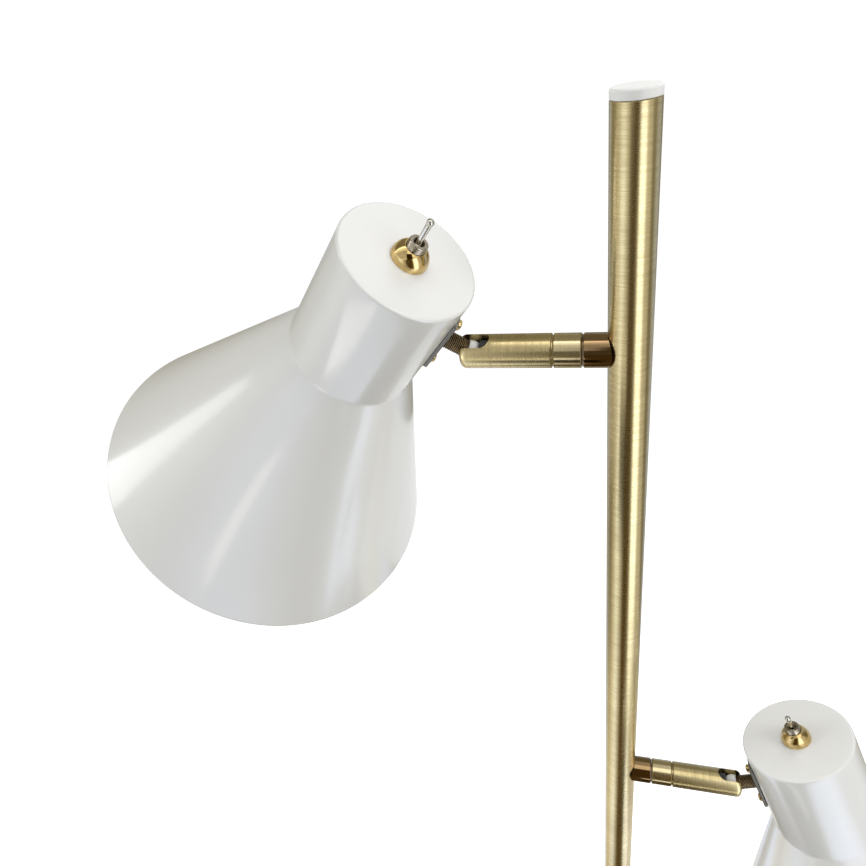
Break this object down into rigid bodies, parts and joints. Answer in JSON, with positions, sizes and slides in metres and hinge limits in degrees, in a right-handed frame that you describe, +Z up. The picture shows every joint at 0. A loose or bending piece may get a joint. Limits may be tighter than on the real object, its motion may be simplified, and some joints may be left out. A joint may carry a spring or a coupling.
{
  "type": "floor lamp",
  "caption": "Free-standing floor lamp: a weighted disc base, a slim tubular pole and cone shades on short arms that swivel and tilt, each with a toggle switch.",
  "frame": {"origin": "centre of the base's underside, on the pole's axis", "axes": "+Z up along the pole; +X out along the lower arm, so the upper arm points to -X; +Y to the rear, where the cord enters the base"},
  "size_m": [0.6486, 0.2877, 1.5046],
  "materials": {
    "white_enamel": "gloss warm white stoved enamel",
    "antique_brass": "satin antique brass, brushed round the tube",
    "turned_brass": "satin brass with fine turning lines",
    "dark_brass": "smooth polished darkened brass",
    "polished_brass": "polished brass",
    "bronze_thread": "darkened threaded brass",
    "nickel": "nickel plate",
    "chrome": "bright chrome plate",
    "ball_white": "off-white nylon",
    "black_steel": "blackened steel strip",
    "zinc_steel": "zinc plated steel",
    "cast_iron": "bare cast iron",
    "rubber_black": "black rubber",
    "friction_plastic": "black moulded plastic",
    "switch_plastic": "dark moulded phenolic",
    "cap_white": "white moulded plastic",
    "holder_white": "cream moulded phenolic",
    "bulb_opal": "opal glass",
    "lead_cover": "cream flexible lead cover"
  },
  "bodies": {
    "stand": {"foot_pad": "rubber_black", "base_plate": "zinc_steel", "base_plate_screws": "zinc_steel", "base_weight": "cast_iron", "base_cover": "white_enamel", "cord_grommet": "rubber_black", "base_nut": "zinc_steel", "base_nipple": "turned_brass", "lower_pole": "antique_brass", "upper_pole": "antique_brass", "pole_inserts": "zinc_steel", "joint_nipple": "turned_brass", "pole_cap": "cap_white", "pole_lead": "lead_cover", "arm_spindles": "zinc_steel", "spindle_nuts": "zinc_steel", "friction_washers": "friction_plastic", "stop_pins": "zinc_steel", "upper_collar": "dark_brass", "lower_collar": "dark_brass"},
    "upper_arm": {"upper_ring": "turned_brass", "upper_fork_tube": "antique_brass", "upper_seat_spring": "zinc_steel", "upper_seat_cup": "friction_plastic"},
    "upper_head": {"upper_ball": "ball_white", "upper_stem": "bronze_thread", "upper_stem_nut": "zinc_steel", "upper_strap": "black_steel", "upper_strap_screws": "polished_brass", "upper_bracket": "zinc_steel", "upper_shade": "white_enamel", "upper_holder_nipple": "turned_brass", "upper_lampholder": "holder_white", "upper_bulb": "bulb_opal", "upper_dome_nut": "polished_brass", "upper_toggle_bushing": "nickel", "upper_toggle_body": "switch_plastic", "upper_head_leads": "lead_cover"},
    "upper_lever": {"upper_toggle_lever": "chrome"},
    "lower_arm": {"lower_ring": "turned_brass", "lower_fork_tube": "antique_brass", "lower_seat_spring": "zinc_steel", "lower_seat_cup": "friction_plastic"},
    "lower_head": {"lower_ball": "ball_white", "lower_stem": "bronze_thread", "lower_stem_nut": "zinc_steel", "lower_strap": "black_steel", "lower_strap_screws": "polished_brass", "lower_bracket": "zinc_steel", "lower_shade": "white_enamel", "lower_holder_nipple": "turned_brass", "lower_lampholder": "holder_white", "lower_bulb": "bulb_opal", "lower_dome_nut": "polished_brass", "lower_toggle_bushing": "nickel", "lower_toggle_body": "switch_plastic", "lower_head_leads": "lead_cover"},
    "lower_lever": {"lower_toggle_lever": "chrome"}
  },
  "joints": [
    {"name": "upper_arm_swivel", "type": "hinge", "parent": "stand", "child": "upper_arm", "pos_m": [-0.0315, 0, 1.384], "axis": [-1, 0, 0], "range_deg": [-145.9, 182.1]},
    {"name": "upper_head_tilt", "type": "hinge", "parent": "upper_arm", "child": "upper_head", "pos_m": [-0.0819, 0, 1.384], "axis": [0, 0.9505, 0.3107], "range_deg": [-38.5, 51.5]},
    {"name": "upper_switch_toggle", "type": "hinge", "parent": "upper_head", "child": "upper_lever", "pos_m": [-0.09731, -0.02116, 1.44873], "axis": [0.7826, 0.1934, -0.5917], "range_deg": [0, 24]},
    {"name": "lower_arm_swivel", "type": "hinge", "parent": "stand", "child": "lower_arm", "pos_m": [0.0315, 0, 1.0216], "axis": [1, 0, 0], "range_deg": [-155.3, 172.7]},
    {"name": "lower_head_tilt", "type": "hinge", "parent": "lower_arm", "child": "lower_head", "pos_m": [0.0819, 0, 1.0216], "axis": [0, -0.9885, 0.1513], "range_deg": [-21.8, 68.2]},
    {"name": "lower_switch_toggle", "type": "hinge", "parent": "lower_head", "child": "lower_lever", "pos_m": [0.11623, 0.0092, 1.0817], "axis": [-0.9285, -0.0562, -0.3671], "range_deg": [0, 24]}
  ]
}
